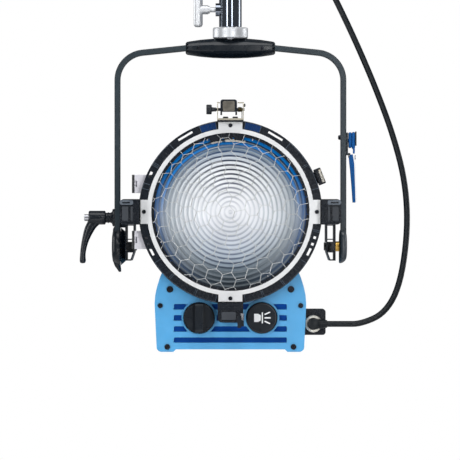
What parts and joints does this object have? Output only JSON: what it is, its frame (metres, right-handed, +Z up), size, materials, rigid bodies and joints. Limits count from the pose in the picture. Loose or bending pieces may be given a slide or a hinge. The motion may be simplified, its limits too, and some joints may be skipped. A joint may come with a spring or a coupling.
{
  "type": "fresnel spotlight",
  "caption": "Studio fresnel spotlight hung from a drop tube by its yoke, with a hinged lens door, focus drive, tilt lock and coiled mains lead.",
  "frame": {"origin": "axis of the hanging spigot at the shoulder on top of the drop tube", "axes": "+Z up along the spigot, -Y the way the lamp looks at rest, +X to the right seen from the front, through the tilt pivots"},
  "size_m": [0.6523, 0.473, 0.995],
  "materials": {
    "chromed_steel": "polished chrome",
    "plain_steel": "turned, satin",
    "zinc_steel": "zinc plated",
    "satin_aluminium": "satin",
    "white_aluminium": "bright anodised",
    "yoke_paint": "dark grey powder coat",
    "black_casting": "black, slightly glossy",
    "blue_paint": "sky blue powder coat",
    "black_plastic": "fine grained moulding",
    "dark_screws": "blackened steel",
    "brass_bush": "machined",
    "black_rubber": "smooth rubber sheath",
    "blue_strap": "woven hook-and-loop strap",
    "black_strap": "woven hook-and-loop strap",
    "lens_glass": "pressed borosilicate",
    "lamp_glass": "clear quartz",
    "guard_wire": "bright wire",
    "mirror": "polished",
    "ceramic": "glazed steatite"
  },
  "bodies": {
    "hanger": {"drop_tube": "chromed_steel", "top_spigot": "plain_steel"},
    "tee": {"tee_handle": "satin_aluminium"},
    "yoke": {"yoke_bar": "yoke_paint", "yoke_spigot": "plain_steel", "yoke_collar": "satin_aluminium", "yoke_grip": "black_plastic", "left_pivot_housing": "black_plastic", "right_pivot_cap": "yoke_paint", "pivot_bushes": "brass_bush", "brake_jaw": "black_casting", "strap_bracket": "yoke_paint", "cable_strap": "blue_strap", "mains_cord_upper": "black_rubber", "mains_cord_coil": "black_rubber", "cord_tie": "black_strap", "plug_body": "black_plastic", "plug_pins": "plain_steel"},
    "tilt_lock": {"tilt_lever": "black_plastic", "tilt_stud": "plain_steel"},
    "head": {"front_panel": "blue_paint", "panel_screws": "dark_screws", "blanking_cap": "black_plastic", "rear_panel": "blue_paint", "rear_handle": "black_plastic", "upper_shell": "black_casting", "lower_housing": "blue_paint", "heat_baffle": "satin_aluminium", "left_side_rail": "black_casting", "right_side_rail": "black_casting", "rail_supports": "zinc_steel", "pivot_blocks": "black_casting", "brake_disc": "black_casting", "connector_box": "black_casting", "cable_gland": "zinc_steel", "cable_boot": "black_rubber", "mains_cord_lower": "black_rubber", "guide_rods": "plain_steel", "hinge_leaves_fixed": "zinc_steel", "door_catch_case": "black_casting"},
    "focus": {"focus_knob": "black_plastic", "focus_spindle": "plain_steel"},
    "carriage": {"lamp_carriage": "satin_aluminium", "spindle_nut": "brass_bush", "lamp_holder": "ceramic", "lamp_bulb": "lamp_glass", "reflector": "mirror"},
    "lens_door": {"front_ring": "black_casting", "lens_retaining_ring": "white_aluminium", "ring_screws": "dark_screws", "lens": "lens_glass", "wire_guard": "guard_wire", "hinge_leaves_door": "zinc_steel", "frame_brackets": "black_casting", "latch_base": "zinc_steel", "latch_spring": "plain_steel"},
    "top_flap": {"latch_flap": "black_casting", "latch_pin": "black_plastic"},
    "clamp_screw": {"lower_clamp": "black_plastic"},
    "catch": {"door_catch": "zinc_steel"}
  },
  "joints": [
    {"name": "yoke_pan", "type": "hinge", "parent": "hanger", "child": "yoke", "pos_m": [0, 0, -0.23], "axis": [0, 0, 1], "range_deg": [-170, 170]},
    {"name": "tee_turn", "type": "hinge", "parent": "hanger", "child": "tee", "pos_m": [-0.05, 0, -0.238], "axis": [-1, 0, 0], "range_deg": [0, 720]},
    {"name": "head_tilt", "type": "hinge", "parent": "yoke", "child": "head", "pos_m": [0, 0, -0.708], "axis": [1, 0, 0], "range_deg": [-90, 90]},
    {"name": "tilt_lock_turn", "type": "hinge", "parent": "yoke", "child": "tilt_lock", "pos_m": [-0.25, 0, -0.651], "axis": [-1, 0, 0], "range_deg": [0, 110]},
    {"name": "lens_door_hinge", "type": "hinge", "parent": "head", "child": "lens_door", "pos_m": [-0.189, -0.1395, -0.64], "axis": [0, 0, -1], "range_deg": [0, 100]},
    {"name": "door_catch_slide", "type": "slide", "parent": "head", "child": "catch", "axis": [-0.3697, 0, 0.9291], "range_m": [0, 0.009]},
    {"name": "focus_turn", "type": "hinge", "parent": "head", "child": "focus", "pos_m": [-0.0615, -0.15, -0.848], "axis": [0, 1, 0], "range_deg": [-360, 360]},
    {"name": "lamp_travel", "type": "slide", "parent": "head", "child": "carriage", "axis": [0, 1, 0], "range_m": [-0.041, 0.041]},
    {"name": "top_flap_hinge", "type": "hinge", "parent": "lens_door", "child": "top_flap", "pos_m": [0, -0.176, -0.4395], "axis": [-1, 0, 0], "range_deg": [0, 75], "stiffness_Nm_per_rad": 0.05, "springref_deg": -20.05},
    {"name": "clamp_screw_turn", "type": "hinge", "parent": "lens_door", "child": "clamp_screw", "pos_m": [0.017, -0.2, -0.8522], "axis": [0, -1, 0], "range_deg": [0, 720]}
  ],
  "couplings": [
    {"joint": "lamp_travel", "follows": "focus_turn", "m_per_rad": 0.0063662}
  ]
}
